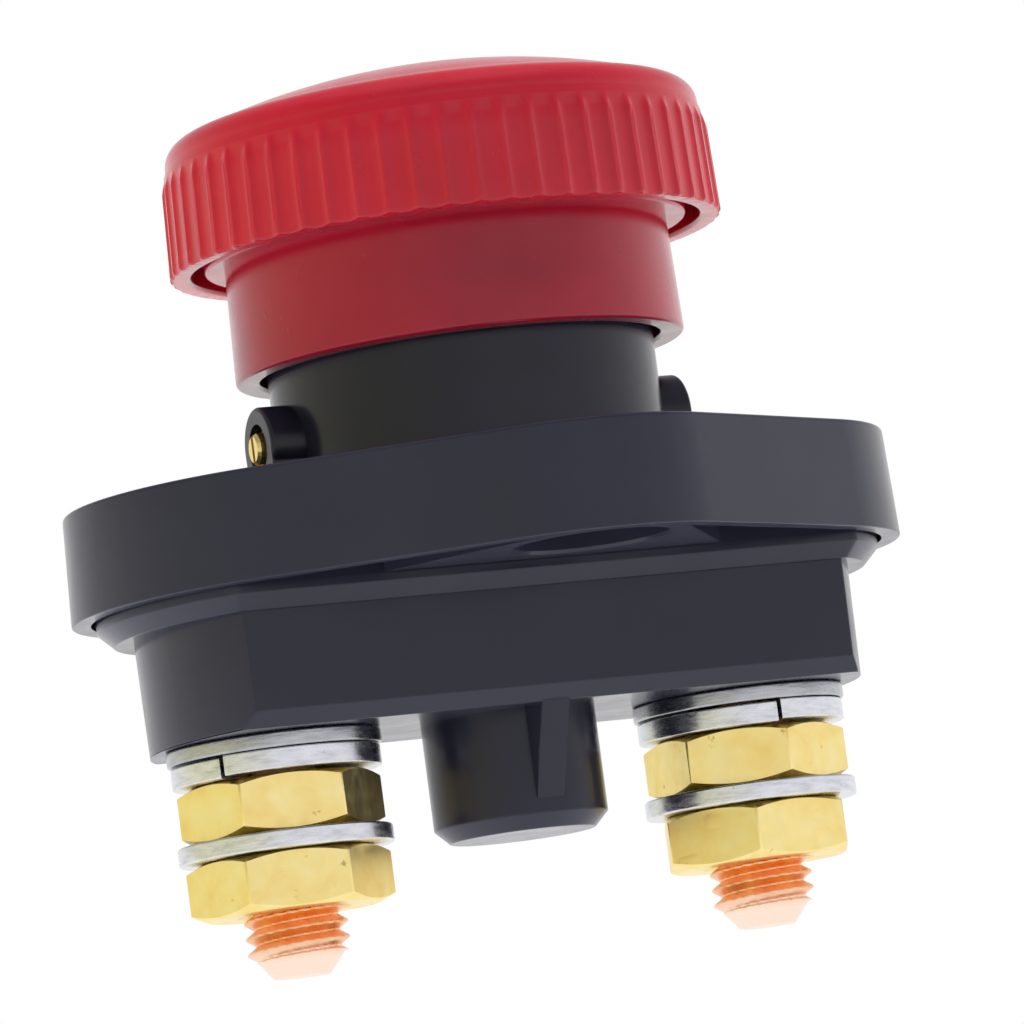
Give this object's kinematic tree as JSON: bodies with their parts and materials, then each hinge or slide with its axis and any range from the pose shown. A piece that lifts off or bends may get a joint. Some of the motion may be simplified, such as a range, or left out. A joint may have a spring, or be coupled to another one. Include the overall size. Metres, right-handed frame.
{
  "type": "push-pull battery disconnect switch",
  "caption": "Push-pull battery disconnect switch: a fluted pull knob on a black flanged housing, with threaded terminal studs, nuts and washers under the panel.",
  "frame": {"origin": "on the knob's axis, in the plane of the flange's lower rim, which seats on the panel", "axes": "+Z from the panel to the knob, X along the line of the studs, Y along the line of the mounting holes; the knob is pushed in at rest"},
  "size_m": [0.0824, 0.0726, 0.0856],
  "materials": {
    "knob_cap": "smooth red moulding",
    "knob_sleeve": "smooth dark red moulding",
    "knob_screw": "plain steel",
    "plunger": "natural acetal",
    "contact_bridge": "bare copper",
    "contact_spring": "spring wire",
    "retaining_clip": "spring steel",
    "upper_housing": "satin black moulding",
    "lower_housing": "satin black moulding",
    "housing_seal": "plain rubber",
    "shaft_seal": "plain rubber",
    "detent_ball": "polished steel",
    "detent_spring": "spring wire",
    "detent_plug": "turned brass",
    "stud": "bare copper",
    "inner_washer": "bright zinc plate",
    "lock_washer": "bright zinc plate",
    "outer_washer": "bright zinc plate",
    "inner_nut": "plain brass",
    "outer_nut": "plain brass"
  },
  "bodies": {
    "housing": {"upper_housing": "upper_housing", "lower_housing": "lower_housing", "housing_seal": "housing_seal", "shaft_seal": "shaft_seal", "detent_spring_left": "detent_spring", "detent_spring_right": "detent_spring", "detent_plug_left": "detent_plug", "detent_plug_right": "detent_plug", "stud_left": "stud", "stud_right": "stud", "inner_washer_left": "inner_washer", "inner_washer_right": "inner_washer", "lock_washer_left": "lock_washer", "lock_washer_right": "lock_washer", "outer_washer_left": "outer_washer", "outer_washer_right": "outer_washer", "inner_nut_left": "inner_nut", "inner_nut_right": "inner_nut", "outer_nut_left": "outer_nut", "outer_nut_right": "outer_nut"},
    "plunger": {"plunger": "plunger", "knob_cap": "knob_cap", "knob_sleeve": "knob_sleeve", "knob_screw": "knob_screw", "contact_spring": "contact_spring", "retaining_clip": "retaining_clip"},
    "bridge": {"contact_bridge": "contact_bridge"},
    "ball_left": {"detent_ball_left": "detent_ball"},
    "ball_right": {"detent_ball_right": "detent_ball"}
  },
  "joints": [
    {"name": "knob_pull", "type": "slide", "parent": "housing", "child": "plunger", "axis": [0, 0, 1], "range_m": [0, 0.008]},
    {"name": "bridge_lift", "type": "slide", "parent": "plunger", "child": "bridge", "axis": [0, 0, 1], "range_m": [0, 0.001], "stiffness_N_per_m": 2000, "springref_m": -0.0015, "deforming": ["contact_spring"]},
    {"name": "ball_in_left", "type": "slide", "parent": "housing", "child": "ball_left", "axis": [1, 0, 0], "range_m": [0, 0.0008]},
    {"name": "ball_in_right", "type": "slide", "parent": "housing", "child": "ball_right", "axis": [-1, 0, 0], "range_m": [0, 0.0008]}
  ]
}
